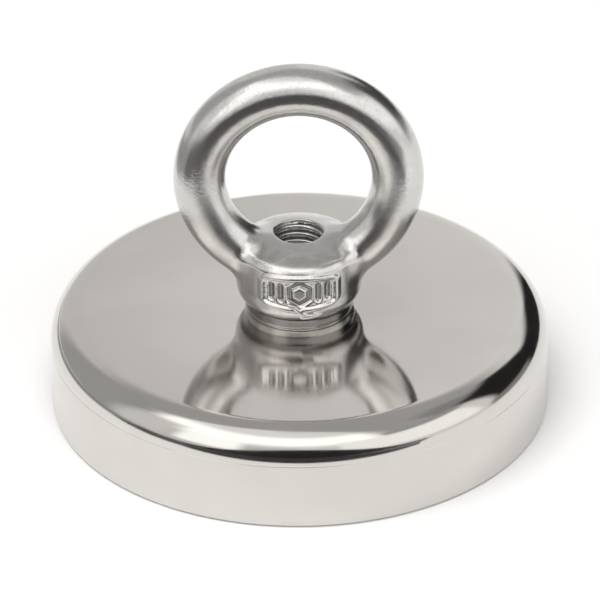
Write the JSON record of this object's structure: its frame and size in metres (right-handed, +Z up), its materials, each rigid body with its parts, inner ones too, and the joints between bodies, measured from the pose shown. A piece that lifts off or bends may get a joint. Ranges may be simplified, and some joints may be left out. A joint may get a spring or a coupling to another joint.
{
  "type": "magnet fishing magnet",
  "caption": "Round nickel-plated pot magnet with a rounded top edge and a cast lifting eye nut held on its axis by a countersunk screw.",
  "frame": {"origin": "centre of the magnetic face, in the plane of the pot's rim, on the pot's axis", "axes": "+Z up the pot's axis to the eye, +X across the eye in the plane of its ring, -Y to the front with the raised panel"},
  "size_m": [0.09, 0.09, 0.0678],
  "materials": {
    "nickel_plate": "bright nickel plate over turned steel",
    "adhesive": "cured adhesive",
    "magnet_plate": "satin nickel plate",
    "black_resin": "poured epoxy",
    "screw_steel": "zinc-plated steel",
    "cast_stainless": "tumbled and polished casting"
  },
  "bodies": {
    "magnet": {"pot_shell": "nickel_plate", "bond_layer": "adhesive", "ring_magnet": "magnet_plate", "resin_ring": "black_resin"},
    "screw": {"countersunk_screw": "screw_steel"},
    "eye_nut": {"eye_nut": "cast_stainless"}
  },
  "joints": [
    {"name": "eye_nut_lift", "type": "slide", "parent": "magnet", "child": "eye_nut", "axis": [0, 0, 1], "range_m": [0, 0.008]},
    {"name": "screw_turn", "type": "hinge", "parent": "magnet", "child": "screw", "pos_m": [0, 0, 0.0105], "axis": [0, 0, -1], "range_deg": [0, 1920.01]}
  ],
  "couplings": [
    {"joint": "screw_turn", "follows": "eye_nut_lift", "rad_per_m": 4188.8}
  ]
}
